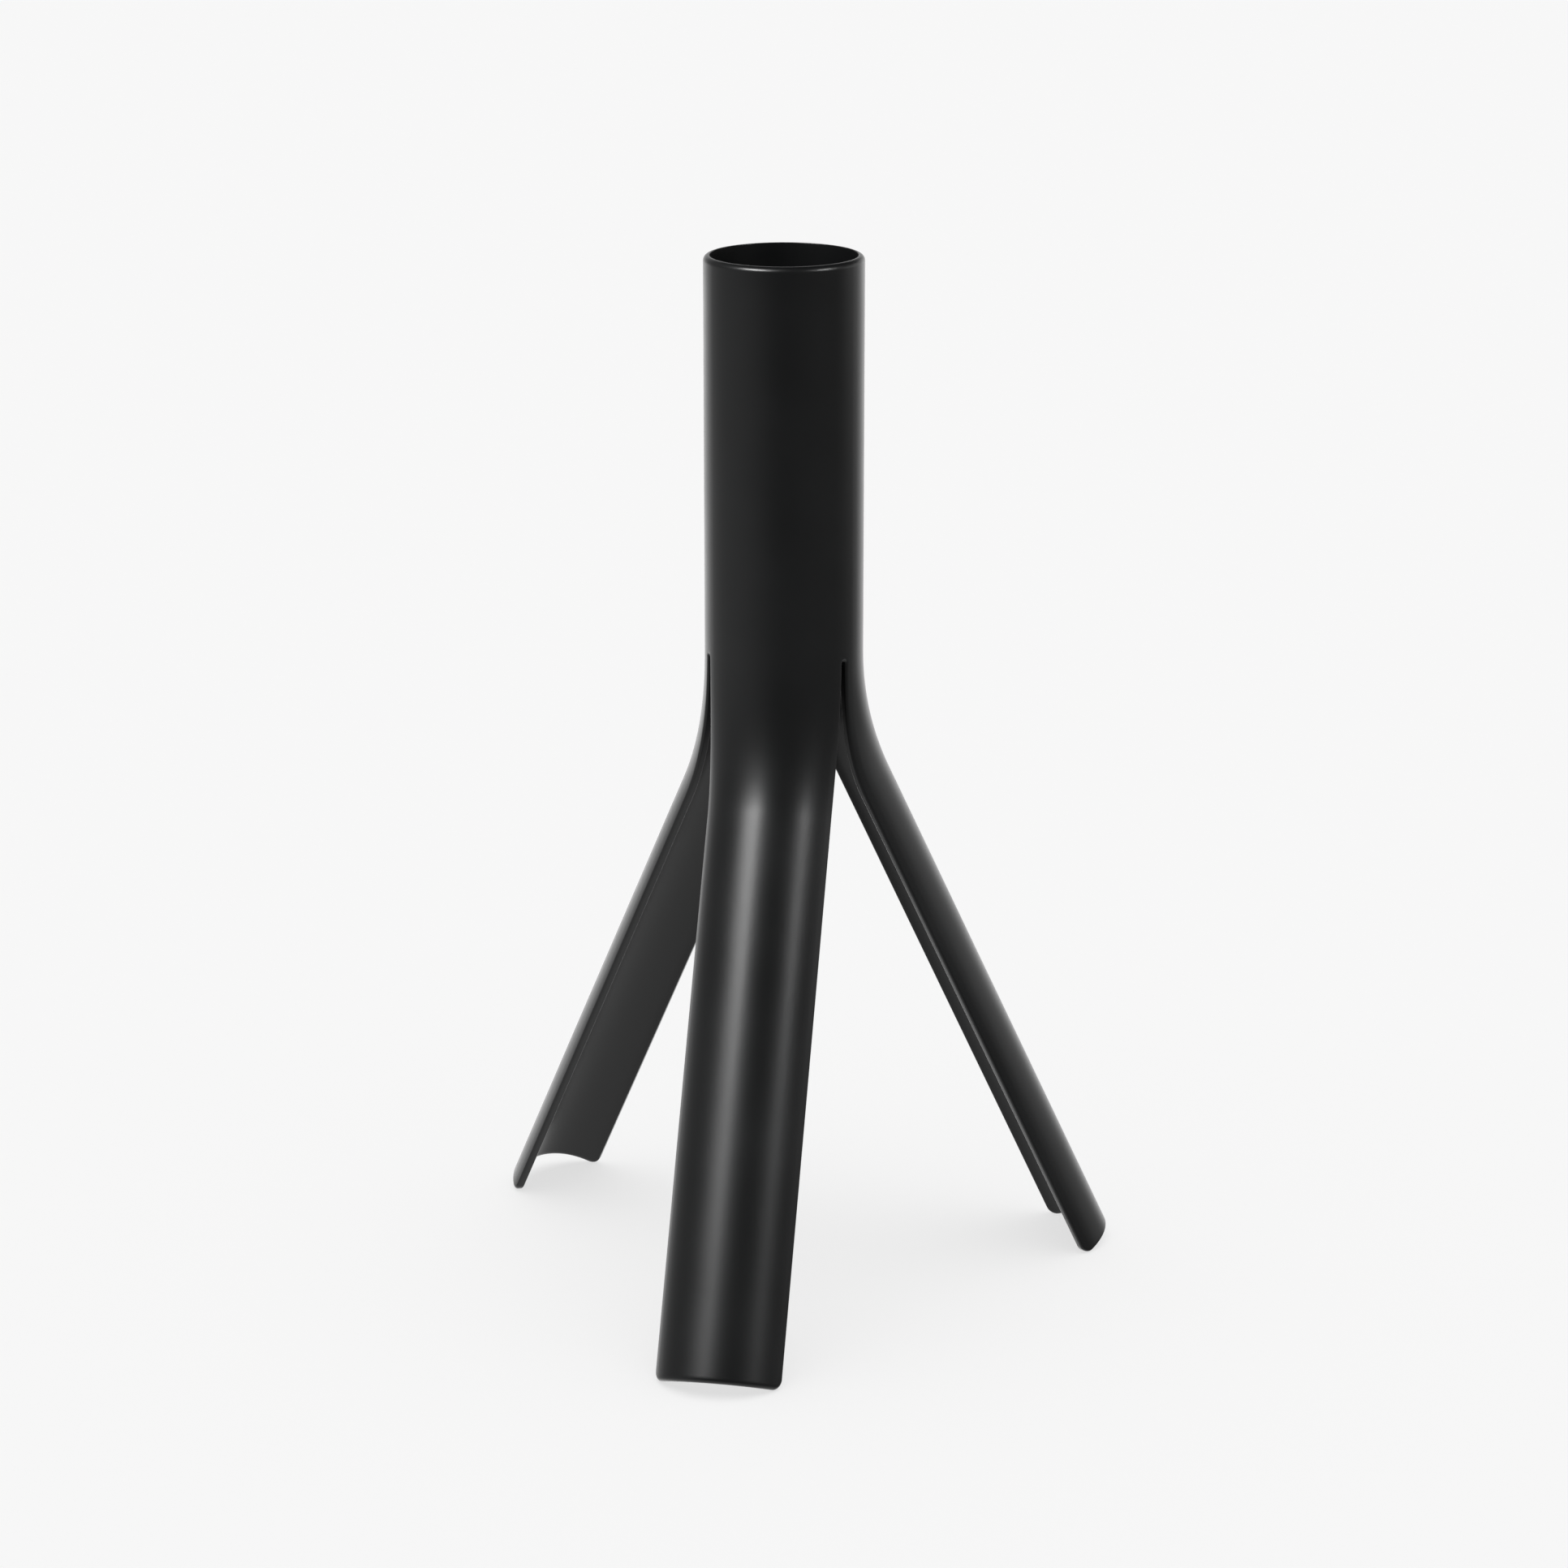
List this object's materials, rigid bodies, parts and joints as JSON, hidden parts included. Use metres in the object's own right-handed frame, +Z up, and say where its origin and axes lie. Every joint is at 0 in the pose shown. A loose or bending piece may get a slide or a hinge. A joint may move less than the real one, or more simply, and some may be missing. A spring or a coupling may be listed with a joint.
{
  "type": "tripod candle holder",
  "caption": "Slender candle holder for one dinner candle: a steel tube whose lower end is slit into strips that bend out smoothly as tripod legs, black powder coat.",
  "frame": {"origin": "on the tube's axis, at the plane of the table that the feet stand on", "axes": "+Z up along the tube towards the candle, front leg along -Y, the other two towards +X and -X behind it"},
  "size_m": [0.1029, 0.0961, 0.1655],
  "materials": {
    "black_powder_coat": "satin black powder coat with a very fine texture on mild steel"
  },
  "bodies": {
    "root": {"stem_tube": "black_powder_coat", "candle_stop": "black_powder_coat", "leg_front": "black_powder_coat", "leg_right": "black_powder_coat", "leg_left": "black_powder_coat"}
  },
  "joints": []
}
